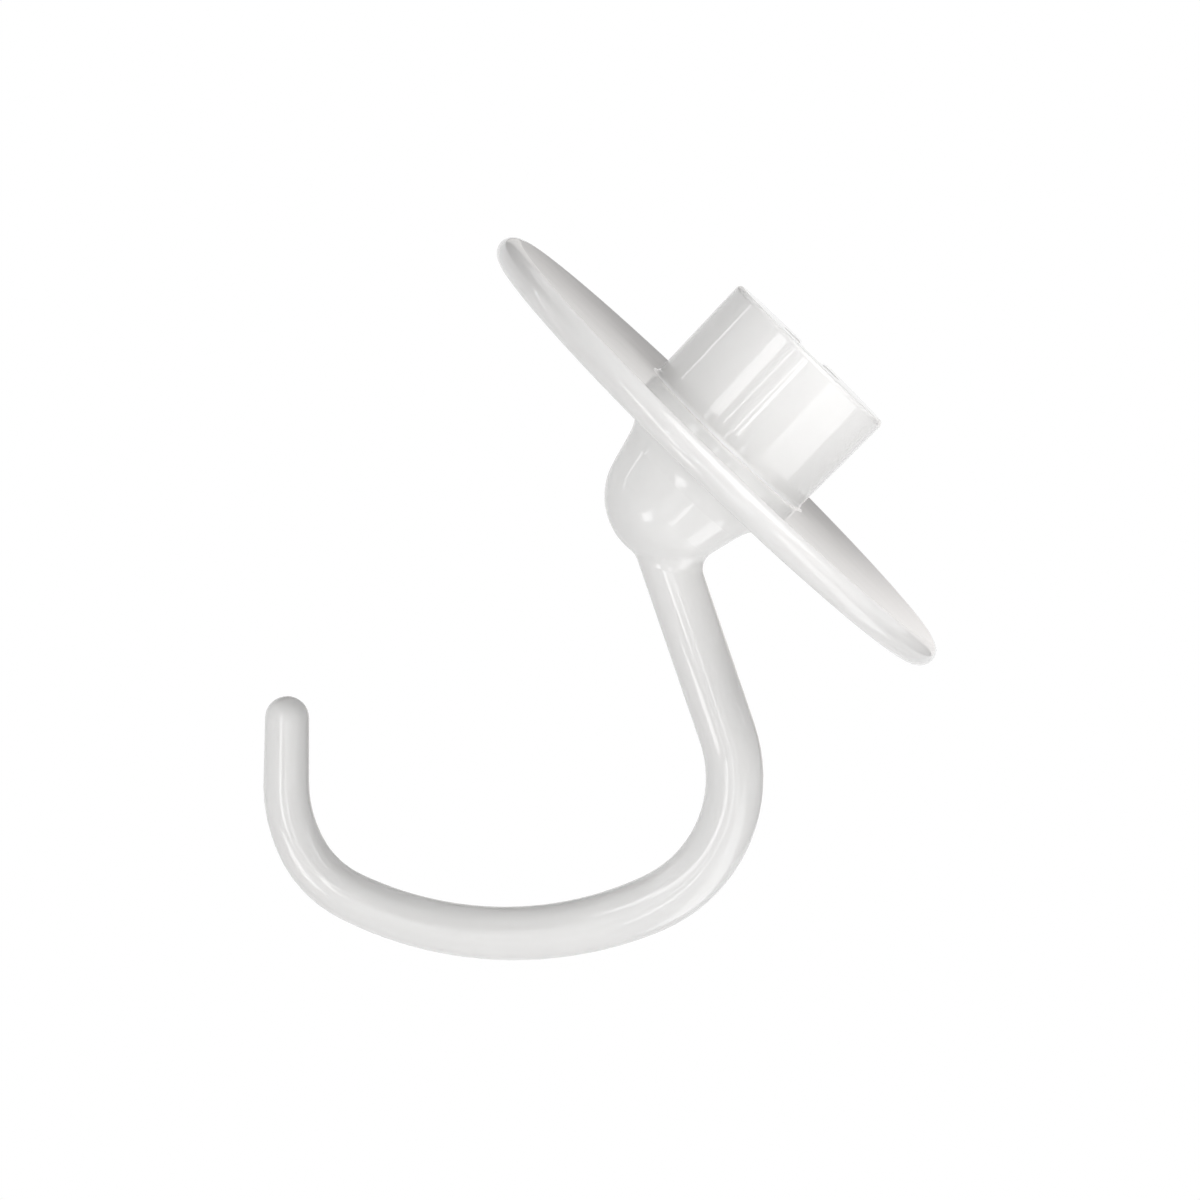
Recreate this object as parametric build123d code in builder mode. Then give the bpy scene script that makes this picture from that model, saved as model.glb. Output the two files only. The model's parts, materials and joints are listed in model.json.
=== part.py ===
"""Dough hook of a tilt-head stand mixer: one aluminium casting with a smooth white coating.

A socket hub locks on the mixer's drive pin, a flat guard disc keeps the dough off it, and a
rounded neck carries a round arm that tapers along a flat C to its tip.

Frame: millimetres and degrees. The origin is on the drive axis, in the plane of the disc's upper
face. +Z runs up the axis and out of the socket's mouth, and the arm lies in the XZ plane, with its
elbow towards +X and its tip towards -X.
"""

import os

from build123d import *

os.makedirs("parts", exist_ok=True)

# Guard disc, flat, with a rim that is round all the way
disc_dia = 116.0
disc_thickness = 5.6

# Hub, a little wider at its mouth than at its root
hub_root_dia = 38.0
hub_mouth_dia = 38.6
hub_height = 23.2
hub_root_fillet = 1.0
hub_lip_round = 1.0

# Neck under the disc: a cone that runs into a round bulb
bulb_dia = 26.8
bulb_drop = 28.6
neck_slope = 14.5
neck_fillet = 9.0

# Arm: its line leaves the axis below the disc in a straight run, follows four bends, each tangent
# to the last, and ends in a short straight tip. It is even to the end of the elbow, then tapers
arm_drop = 20.8
arm_slope = 27.0
arm_run = 44.6
elbow_radius = 27.5
elbow_turn = 84.3
sweep_radius = 70.4
sweep_turn = 50.4
toe_radius = 21.0
toe_turn = 39.0
heel_radius = 29.0
heel_turn = 26.5
tip_run = 12.4
arm_dia = 11.3
tip_dia = 8.7
arm_root_fillet = 3.6

# Drive socket: a blind bore for the shaft, and a bayonet track through the hub's wall for its pin
shaft_dia = 12.7
shaft_clearance = 0.3
bore_depth = 32.0
pin_dia = 4.8
pin_clearance = 0.6
pin_drop = 13.0
pin_turn = 60.0
pin_lift = 2.4

# Sizes that follow from the ones above
disc_radius = disc_dia / 2
rim_radius = disc_thickness / 2
bore_radius = (shaft_dia + shaft_clearance) / 2
pin_level = hub_height - pin_drop
track_width = pin_dia + pin_clearance
track_reach = max(hub_root_dia, hub_mouth_dia) / 2 + pin_dia

# Line that the arm's centre follows, first where the arm is even and then where it tapers
with BuildLine(Plane.XZ) as even_line:
    run = PolarLine((0, -arm_drop), arm_run, -arm_slope)
    elbow = JernArc(run @ 1, run % 1, elbow_radius, -elbow_turn)

with BuildLine(Plane.XZ) as taper_line:
    long_sweep = JernArc(elbow @ 1, elbow % 1, sweep_radius, -sweep_turn)
    toe = JernArc(long_sweep @ 1, long_sweep % 1, toe_radius, -toe_turn)
    heel = JernArc(toe @ 1, toe % 1, heel_radius, -heel_turn)
    tip = Line(heel @ 1, heel @ 1 + (heel % 1) * tip_run)


def across(curve, place):
    """Plane across a curve of the arm's line, with its x axis square to the C."""
    return Plane(curve @ place, x_dir=(0, 1, 0), z_dir=curve % place)


# Room for the drive pin, behind the C: down from the hub's mouth, round the axis by a part of a
# turn, and up into the pocket where the pin locks
with BuildPart() as pin_track:
    for turn, rise in ((0, pin_drop), (pin_turn, pin_lift)):
        with BuildSketch(Plane.XZ.rotated((0, 0, turn))):
            with Locations((0, pin_level + rise / 2)):
                SlotCenterToCenter(rise, track_width, rotation=90)
        extrude(amount=-track_reach)
    with BuildSketch(Plane.YZ):
        with Locations((0, pin_level)):
            Rectangle(track_reach, track_width, align=(Align.MIN, Align.CENTER))
    revolve(axis=Axis.Z, revolution_arc=pin_turn)

with BuildPart() as dough_hook:
    # Neck, disc and hub, turned from one half profile
    with BuildSketch(Plane.XZ) as body_profile:
        with BuildLine():
            bulb = JernArc((0, -bulb_drop), (1, 0), bulb_dia / 2, 90 - neck_slope)
            neck_height = -disc_thickness - (bulb @ 1).Y
            neck = PolarLine(bulb @ 1, neck_height, 90 - neck_slope, length_mode=LengthMode.VERTICAL)
            underside = Line(neck @ 1, (disc_radius - rim_radius, -disc_thickness))
            rim = JernArc(underside @ 1, (1, 0), rim_radius, 180)
            upper_face = Line(rim @ 1, (hub_root_dia / 2, 0))
            hub_wall = Line(upper_face @ 1, (hub_mouth_dia / 2, hub_height))
            mouth_face = Line(hub_wall @ 1, (0, hub_height))
            Line(mouth_face @ 1, bulb @ 0)
        make_face()
        fillet(body_profile.vertices().sort_by_distance(neck @ 1)[0], neck_fillet)
        fillet(body_profile.vertices().sort_by_distance(upper_face @ 1)[0], hub_root_fillet)
    revolve(axis=Axis.Z)

    # Arm, swept along its line with round sections, and blended into the bulb
    with BuildSketch(across(run, 0)):
        Circle(arm_dia / 2)
    sweep(path=even_line.wire())
    fillet(dough_hook.edges(Select.NEW), arm_root_fillet)
    with BuildSketch(across(long_sweep, 0)) as taper_root:
        Circle(arm_dia / 2)
    with BuildSketch(across(tip, 1)) as taper_end:
        Circle(tip_dia / 2)
    sweep(sections=[taper_root.sketch, taper_end.sketch], path=taper_line.wire(), multisection=True)
    with Locations(across(tip, 1)):
        Sphere(tip_dia / 2, arc_size1=0, align=(Align.CENTER, Align.CENTER, Align.MIN))

    # Shaft bore, open at the hub's mouth, and the pin's track beside it, with rounded lips
    with Locations(Plane.XY.offset(hub_height)):
        Hole(bore_radius, bore_depth)
    add(pin_track.part, mode=Mode.SUBTRACT)
    track_edges = dough_hook.edges(Select.NEW)
    hub_side = dough_hook.faces().sort_by_distance((hub_mouth_dia / 2, 0, hub_height / 2))[0]
    mouth_lips = dough_hook.faces().sort_by(Axis.Z)[-1].edges()
    track_lips = (hub_side.edges() & track_edges) - mouth_lips
    fillet(mouth_lips + track_lips, hub_lip_round)

dough_hook.part.label = "dough_hook"
export_step(dough_hook.part, "parts/dough_hook.step")
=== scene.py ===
"""Dough hook of a stand mixer: the finish of its casting, and a white studio to look at it in.

The casting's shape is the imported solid's own. This file gives it a glossy white coating, with bare
metal in the shaft's bore, and sets up the floor, a grey card for the reflections, the lamps and
the camera.

Lengths are in metres. +Z runs up the drive axis and out of the socket, the C lies in the XZ plane
and the camera looks along +Y. Lamps are placed as they are seen from the hook in the picture's own
frame: so many degrees to the right of the camera and so many above it.
"""

import json
import math
from typing import NamedTuple

import bmesh
import bpy
from bpy.props import FloatProperty, FloatVectorProperty, PointerProperty
from bpy.types import Operator, Panel, PropertyGroup
from mathutils import Matrix

bl_info = {
    "name": "Dough Hook",
    "version": (1, 0, 0),
    "blender": (4, 5, 0),
    "location": "View3D > Sidebar > Dough Hook",
    "description": "Coats a stand mixer's dough hook and sets up a white studio for it",
    "category": "Object",
}

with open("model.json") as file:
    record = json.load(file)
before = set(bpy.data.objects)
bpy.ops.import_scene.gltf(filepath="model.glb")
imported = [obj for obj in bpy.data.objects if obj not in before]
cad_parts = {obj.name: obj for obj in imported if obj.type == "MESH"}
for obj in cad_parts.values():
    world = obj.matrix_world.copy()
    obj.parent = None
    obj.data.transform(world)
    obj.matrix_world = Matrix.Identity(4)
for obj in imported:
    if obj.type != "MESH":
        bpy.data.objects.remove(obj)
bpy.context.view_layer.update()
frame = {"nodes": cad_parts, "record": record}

# The casting is bare metal up to a hair outside the wall of the shaft's bore, and down to a level
# just under the bore's floor
BORE_RADIUS = frame["record"]["mounts"][0]["dims"]["r_mm"] / 1000
BARE_RADIUS = 1.01 * BORE_RADIUS
BARE_LEVEL = -0.01

# Fineness of the noise in the coating's waves and in its ripple, and the coating's refraction
WAVE_DETAIL = 1.0
PEEL_DETAIL = 2.0
COATING_IOR = 1.5

# Floor: half its side, and the distances from the drive axis over which the shadow fades to white
FLOOR_REACH = 12.0
SHADOW_FADE = (0.08, 0.2)

# Grey card: a ring round the drive axis. Behind the hook, which is past CARD_BACK along Y, its grey
# changes over two stretches: CARD_RISE, up from its foot, and CARD_SIDE, along X to the elbow's side
CARD_RADIUS = 1.2
CARD_BOTTOM = 0.06
CARD_HEIGHT = 0.56
CARD_SEGMENTS = 96
CARD_BACK = 1.1
CARD_RISE = (0.068, 0.086)
CARD_SIDE = (0.05, 0.17)

# How far a direction points along Y, over which the world's light from behind comes up
BACK_FADE = (0.2, 1.0)

# Colour sockets of a Mix node, by number, because its sockets for other values have the same names
MIX_FIRST = 6
MIX_SECOND = 7
MIX_RESULT = 2


class Shade:
    """An output socket, so that shader maths reads as Python expressions."""

    def __init__(self, tree, socket):
        self.tree = tree
        self.socket = socket

    @classmethod
    def node(cls, tree, kind, settings=None, inputs=None, output=0):
        """Adds a node, sets it up, fills or links its inputs and wraps one of its outputs."""
        node = tree.nodes.new(kind)
        for name, value in (settings or {}).items():
            setattr(node, name, value)
        for name, value in (inputs or {}).items():
            if isinstance(value, Shade):
                tree.links.new(value.socket, node.inputs[name])
            else:
                node.inputs[name].default_value = value
        return cls(tree, node.outputs[output]) if node.outputs else None

    def outputs(self):
        """All outputs of this one's node, by name."""
        return {socket.name: Shade(self.tree, socket) for socket in self.socket.node.outputs}

    def axes(self):
        """The X, Y and Z of a point."""
        return Shade.node(self.tree, "ShaderNodeSeparateXYZ", None, {0: self}).outputs().values()

    def noise(self, length, detail):
        """Noise over a point's place, with bumps of about this length."""
        inputs = {"Vector": self, "Scale": 1 / length, "Detail": detail}
        return Shade.node(self.tree, "ShaderNodeTexNoise", None, inputs)

    def ramp(self, start, end, interpolation="SMOOTHSTEP"):
        """0 up to the start, 1 from the end on, and a rise between them."""
        inputs = {"Value": self, "From Min": start, "From Max": end}
        return Shade.node(self.tree, "ShaderNodeMapRange", {"interpolation_type": interpolation}, inputs)

    def blend(self, first, second):
        """The first colour at 0, the second at 1, and a mix of them between."""
        inputs = {"Factor": self, MIX_FIRST: first, MIX_SECOND: second}
        return Shade.node(self.tree, "ShaderNodeMix", {"data_type": "RGBA"}, inputs, MIX_RESULT)

    def math(self, operation, first, second):
        """A Math node on two values, of which at least one is a socket."""
        return Shade.node(self.tree, "ShaderNodeMath", {"operation": operation}, {0: first, 1: second})

    def __add__(self, other):
        return self.math("ADD", self, other)

    def __radd__(self, other):
        return self.math("ADD", other, self)

    def __mul__(self, other):
        return self.math("MULTIPLY", self, other)

    def __rmul__(self, other):
        return self.math("MULTIPLY", other, self)

    def __lt__(self, other):
        return self.math("LESS_THAN", self, other)

    def __gt__(self, other):
        return self.math("GREATER_THAN", self, other)

    def __or__(self, other):
        return self.math("MAXIMUM", self, other)


def new_tree(owner):
    """Clears a material's or world's nodes and returns the tree."""
    owner.use_nodes = True
    owner.node_tree.nodes.clear()
    return owner.node_tree


def opaque(color):
    """A colour with its alpha, as a socket takes it."""
    return (*color, 1)


def grey(level):
    """A grey with its alpha, as a socket takes it."""
    return (level, level, level, 1)


def seen_rays(tree):
    """1 for rays that show the background, straight or in a reflection, and 0 for light."""
    rays = Shade.node(tree, "ShaderNodeLightPath").outputs()
    return rays["Is Camera Ray"] | rays["Is Glossy Ray"] | rays["Is Transmission Ray"]


class CoatingSettings(PropertyGroup):
    """Finish of the casting."""

    coating_color: FloatVectorProperty(
        name="Coating",
        description="Colour of the coating",
        subtype="COLOR",
        default=(0.87, 0.863, 0.853),
        min=0,
        max=1,
    )
    thin_color: FloatVectorProperty(
        name="Thin coating",
        description="Colour where the coating runs thin",
        subtype="COLOR",
        default=(0.845, 0.84, 0.833),
        min=0,
        max=1,
    )
    metal_color: FloatVectorProperty(
        name="Bare metal",
        description="Colour of the machined bore",
        subtype="COLOR",
        default=(0.62, 0.615, 0.6),
        min=0,
        max=1,
    )
    gloss_roughness: FloatProperty(
        name="Gloss",
        description="Roughness of the coating's skin",
        subtype="FACTOR",
        default=0.024,
        min=0,
        max=1,
    )
    gloss_spread: FloatProperty(
        name="Gloss spread",
        description="Roughness that the fine ripple adds to the skin",
        subtype="FACTOR",
        default=0.02,
        min=0,
        max=1,
    )
    metal_roughness: FloatProperty(
        name="Metal roughness",
        description="Roughness of the machined bore",
        subtype="FACTOR",
        default=0.32,
        min=0,
        max=1,
    )
    wave_length: FloatProperty(
        name="Wave length",
        description="Length of the soft waves in the coating",
        unit="LENGTH",
        default=0.011,
        min=0.001,
    )
    wave_height: FloatProperty(
        name="Wave height",
        description="Height of the soft waves in the coating",
        unit="LENGTH",
        default=0.00001,
        min=0,
    )
    peel_length: FloatProperty(
        name="Peel length",
        description="Length of the fine ripple in the skin",
        unit="LENGTH",
        default=0.0011,
        min=0.0001,
    )
    peel_height: FloatProperty(
        name="Peel height",
        description="Height of the fine ripple in the skin",
        unit="LENGTH",
        default=0.0000004,
        min=0,
    )


class StudioSettings(PropertyGroup):
    """Floor, background and camera."""

    floor_drop: FloatProperty(
        name="Floor drop",
        description="Floor's depth under the disc",
        unit="LENGTH",
        default=0.62,
        min=0.13,
    )
    floor_color: FloatVectorProperty(
        name="Floor",
        description="Colour of the floor",
        subtype="COLOR",
        default=(0.8, 0.8, 0.8),
        min=0,
        max=1,
    )
    floor_lift: FloatProperty(
        name="Floor lift",
        description="Share of plain white in the floor where it is seen",
        subtype="FACTOR",
        default=0.62,
        min=0,
        max=1,
    )
    sky_level: FloatProperty(
        name="Sky level",
        description="Strength of the light from all round",
        subtype="FACTOR",
        default=0.05,
        min=0,
        max=1,
    )
    back_level: FloatProperty(
        name="Back level",
        description="Strength of the light from behind",
        subtype="FACTOR",
        default=0.6,
        min=0,
        max=1,
    )
    card_foot: FloatVectorProperty(
        name="Card's foot",
        description="Grey of the card's lower edge, behind the hook",
        subtype="COLOR",
        default=(0.32, 0.31, 0.305),
        min=0,
        max=1,
    )
    card_head: FloatVectorProperty(
        name="Card's head",
        description="Grey of the card higher up, behind the hook",
        subtype="COLOR",
        default=(0.8, 0.78, 0.766),
        min=0,
        max=1,
    )
    card_side: FloatVectorProperty(
        name="Card's side",
        description="Grey of the card towards the elbow, behind the hook",
        subtype="COLOR",
        default=(1.0, 0.97, 0.955),
        min=0,
        max=1,
    )
    card_round: FloatVectorProperty(
        name="Card all round",
        description="Grey of the card at the front and sides",
        subtype="COLOR",
        default=(0.36, 0.35, 0.345),
        min=0,
        max=1,
    )
    lens: FloatProperty(
        name="Lens",
        description="Focal length of the camera",
        unit="CAMERA",
        default=100,
        min=1,
    )
    target: FloatVectorProperty(
        name="Target",
        description="Point in the middle of the picture",
        subtype="XYZ",
        unit="LENGTH",
        default=(0.0039, 0, -0.03978),
    )
    distance: FloatProperty(
        name="Distance",
        description="Camera's distance from its target",
        unit="LENGTH",
        default=0.6502,
        min=0.1,
    )
    elevation: FloatProperty(
        name="Elevation",
        description="Angle at which the camera looks down",
        subtype="ANGLE",
        default=math.radians(7.08),
    )
    roll: FloatProperty(
        name="Roll",
        description="Turn of the camera about its line of sight",
        subtype="ANGLE",
        default=math.radians(44.23),
    )


class Softbox(NamedTuple):
    """A lamp that faces the hook: degrees right of the camera and above it, size, turn and brightness."""

    name: str
    pan: float
    tilt: float
    distance: float
    width: float
    height: float
    turn: float
    level: float


SOFTBOXES = (
    Softbox("overhead_panel", 70, 34, 0.80, 0.58, 0.70, 0, 1.9),
    Softbox("hub_panel", 46, 30, 0.183, 0.10, 0.10, 0, 2.1),
    Softbox("right_panel", 62, -48, 0.62, 0.98, 0.32, -45, 2.1),
    Softbox("left_panel", -60, 45, 0.80, 0.92, 0.58, 0, 0.8),
    Softbox("front_panel", 4, -19, 0.80, 1.10, 0.60, 0, 0.45),
    Softbox("tall_strip", -31, 5, 0.80, 0.168, 0.68, 0, 3.8),
    Softbox("lens_strip", -3, -11, 0.80, 0.036, 0.84, 0, 5.0),
    Softbox("tip_strip", 15, -13, 0.80, 0.036, 0.20, 0, 4.0),
    Softbox("short_strip_left", -19, 5, 0.80, 0.024, 0.20, -45, 5.0),
    Softbox("short_strip_right", -10.5, -7, 0.80, 0.024, 0.20, -45, 5.0),
    Softbox("low_square", -51, -31, 0.50, 0.15, 0.13, 0, 4.0),
    Softbox("low_strip", -18, -42, 0.50, 0.022, 0.26, 44, 3.0),
    Softbox("side_strip", -97, 29, 0.80, 0.04, 0.56, 12, 3.0),
)


def make_coating(settings):
    """Glossy white coating with a soft wave and a fine ripple, and machined metal in the bore."""
    material = bpy.data.materials.new("white_coating")
    tree = new_tree(material)
    place = Shade.node(tree, "ShaderNodeTexCoord", output="Object")
    waves = place.noise(settings.wave_length, WAVE_DETAIL)
    peel = place.noise(settings.peel_length, PEEL_DETAIL)
    x, y, height = place.axes()
    bare = (x * x + y * y < BARE_RADIUS**2) * (height > BARE_LEVEL)

    coating = waves.blend(opaque(settings.coating_color), opaque(settings.thin_color))
    color = bare.blend(coating, opaque(settings.metal_color))
    gloss = settings.gloss_roughness + peel * settings.gloss_spread
    roughness = gloss + bare * (settings.metal_roughness - settings.gloss_roughness)
    surface = waves * settings.wave_height + peel * settings.peel_height
    bump = Shade.node(tree, "ShaderNodeBump", None, {"Height": surface, "Distance": 1.0, "Strength": 1.0})
    skin = Shade.node(
        tree,
        "ShaderNodeBsdfPrincipled",
        None,
        {"Base Color": color, "Metallic": bare, "Roughness": roughness, "Normal": bump, "IOR": COATING_IOR},
    )
    Shade.node(tree, "ShaderNodeOutputMaterial", None, {"Surface": skin})
    return material


class DOUGHHOOK_OT_coat_casting(Operator):
    """Give the casting its glossy white coating"""

    bl_idname = "dough_hook.coat_casting"
    bl_label = "Coat Casting"
    bl_options = {"REGISTER", "UNDO"}

    def execute(self, context):
        casting = frame["nodes"]["dough_hook"]
        coating = make_coating(context.scene.dough_hook_coating)
        casting.data.materials.clear()
        casting.data.materials.append(coating)
        return {"FINISHED"}


def stage_object(name, shape, material):
    """An object of the stage, made from a bmesh that isn't needed any more."""
    mesh = bpy.data.meshes.new(name)
    shape.to_mesh(mesh)
    shape.free()
    mesh.materials.append(material)
    return bpy.data.objects.new(name, mesh)


def make_floor_material(settings):
    """Pale floor that bounces light, is white where it is seen and keeps the hook's shadow."""
    material = bpy.data.materials.new("studio_floor")
    tree = new_tree(material)
    place = Shade.node(tree, "ShaderNodeTexCoord", output="Object")
    reach = Shade.node(tree, "ShaderNodeVectorMath", {"operation": "LENGTH"}, {0: place}, "Value")
    shown = settings.floor_lift + reach.ramp(*SHADOW_FADE) * (1 - settings.floor_lift)
    pale = Shade.node(tree, "ShaderNodeBsdfDiffuse", None, {"Color": opaque(settings.floor_color)})
    white = Shade.node(tree, "ShaderNodeEmission", None, {"Color": grey(1), "Strength": 1.0})
    floor = Shade.node(tree, "ShaderNodeMixShader", None, {0: seen_rays(tree) * shown, 1: pale, 2: white})
    Shade.node(tree, "ShaderNodeOutputMaterial", None, {"Surface": floor})
    return material


def make_floor(settings):
    """Wide flat floor under the hook."""
    shape = bmesh.new()
    bmesh.ops.create_grid(shape, x_segments=1, y_segments=1, size=FLOOR_REACH)
    floor = stage_object("studio_floor", shape, make_floor_material(settings))
    floor.location.z = -settings.floor_drop
    return floor


def make_card_material(settings):
    """Even glow in the card's greys."""
    material = bpy.data.materials.new("grey_card")
    tree = new_tree(material)
    across, depth, height = Shade.node(tree, "ShaderNodeTexCoord", output="Object").axes()
    tone = height.ramp(*CARD_RISE, "LINEAR").blend(opaque(settings.card_foot), opaque(settings.card_head))
    tone = across.ramp(*CARD_SIDE).blend(tone, opaque(settings.card_side))
    tone = (depth < CARD_BACK).blend(tone, opaque(settings.card_round))
    glow = Shade.node(tree, "ShaderNodeEmission", None, {"Color": tone, "Strength": 1.0})
    Shade.node(tree, "ShaderNodeOutputMaterial", None, {"Surface": glow})
    return material


def make_card(settings):
    """Grey card that stands round the hook and is seen only in reflections, as in the disc's top."""
    shape = bmesh.new()
    bmesh.ops.create_cone(
        shape,
        cap_ends=False,
        segments=CARD_SEGMENTS,
        radius1=CARD_RADIUS,
        radius2=CARD_RADIUS,
        depth=CARD_HEIGHT,
        matrix=Matrix.Translation((0, 0, CARD_BOTTOM + CARD_HEIGHT / 2)),
    )
    card = stage_object("grey_card", shape, make_card_material(settings))
    card.visible_camera = False
    card.visible_diffuse = False
    card.visible_shadow = False
    return card


def make_world(settings):
    """World that is white where it is seen, and gives a little light all round and more from behind."""
    world = bpy.data.worlds.new("studio_world")
    tree = new_tree(world)
    _, depth, _ = Shade.node(tree, "ShaderNodeTexCoord", output="Generated").axes()
    soft = depth.ramp(*BACK_FADE).blend(grey(settings.sky_level), grey(settings.back_level))
    light = Shade.node(tree, "ShaderNodeBackground", None, {"Color": soft, "Strength": 1.0})
    white = Shade.node(tree, "ShaderNodeBackground", None, {"Color": grey(1), "Strength": 1.0})
    both = Shade.node(tree, "ShaderNodeMixShader", None, {0: seen_rays(tree), 1: light, 2: white})
    Shade.node(tree, "ShaderNodeOutputWorld", None, {"Surface": both})
    return world


def picture_frame(settings):
    """Placement at the target whose axes are the picture's: right, up and towards the camera."""
    turn = Matrix.Rotation(math.pi / 2 - settings.elevation, 4, "X") @ Matrix.Rotation(settings.roll, 4, "Z")
    return Matrix.Translation(settings.target) @ turn


def make_softbox(softbox, picture):
    """Area lamp that faces the target and isn't in the picture itself."""
    lamp = bpy.data.lights.new(softbox.name, "AREA")
    lamp.shape = "RECTANGLE"
    lamp.size = softbox.width
    lamp.size_y = softbox.height
    lamp.energy = math.pi * softbox.width * softbox.height * softbox.level
    light = bpy.data.objects.new(softbox.name, lamp)
    pan = Matrix.Rotation(math.radians(softbox.pan), 4, "Y")
    tilt = Matrix.Rotation(math.radians(-softbox.tilt), 4, "X")
    turn = Matrix.Rotation(math.radians(softbox.turn), 4, "Z")
    light.matrix_world = picture @ pan @ tilt @ Matrix.Translation((0, 0, softbox.distance)) @ turn
    light.visible_camera = False
    return light


def make_camera(settings, picture):
    """Camera at the photograph's viewing angle, turned about its line of sight."""
    lens = bpy.data.cameras.new("studio_camera")
    lens.lens = settings.lens
    camera = bpy.data.objects.new("studio_camera", lens)
    camera.matrix_world = picture @ Matrix.Translation((0, 0, settings.distance))
    return camera


class DOUGHHOOK_OT_build_studio(Operator):
    """Set up the floor, the grey card, the background, the lamps and the camera"""

    bl_idname = "dough_hook.build_studio"
    bl_label = "Build Studio"
    bl_options = {"REGISTER", "UNDO"}

    def execute(self, context):
        scene = context.scene
        settings = scene.dough_hook_studio
        picture = picture_frame(settings)
        floor = make_floor(settings)
        card = make_card(settings)
        camera = make_camera(settings, picture)
        lamps = [make_softbox(softbox, picture) for softbox in SOFTBOXES]
        for thing in (floor, card, camera, *lamps):
            scene.collection.objects.link(thing)
        scene.world = make_world(settings)
        scene.camera = camera
        scene.view_settings.view_transform = "Standard"
        return {"FINISHED"}


class DOUGHHOOK_PT_sidebar(Panel):
    """Dough hook's finish and studio"""

    bl_idname = "DOUGHHOOK_PT_sidebar"
    bl_label = "Dough Hook"
    bl_space_type = "VIEW_3D"
    bl_region_type = "UI"
    bl_category = "Dough Hook"

    def draw(self, context):
        scene = context.scene
        for settings, operator in (
            (scene.dough_hook_coating, DOUGHHOOK_OT_coat_casting),
            (scene.dough_hook_studio, DOUGHHOOK_OT_build_studio),
        ):
            box = self.layout.box()
            for name in settings.__annotations__:
                box.prop(settings, name)
            box.operator(operator.bl_idname)


CLASSES = (
    CoatingSettings,
    StudioSettings,
    DOUGHHOOK_OT_coat_casting,
    DOUGHHOOK_OT_build_studio,
    DOUGHHOOK_PT_sidebar,
)


def register():
    for cls in CLASSES:
        bpy.utils.register_class(cls)
    bpy.types.Scene.dough_hook_coating = PointerProperty(type=CoatingSettings)
    bpy.types.Scene.dough_hook_studio = PointerProperty(type=StudioSettings)


def unregister():
    del bpy.types.Scene.dough_hook_studio
    del bpy.types.Scene.dough_hook_coating
    for cls in reversed(CLASSES):
        bpy.utils.unregister_class(cls)


def main():
    register()
    bpy.ops.dough_hook.coat_casting()
    bpy.ops.dough_hook.build_studio()


if __name__ == "__main__":
    main()
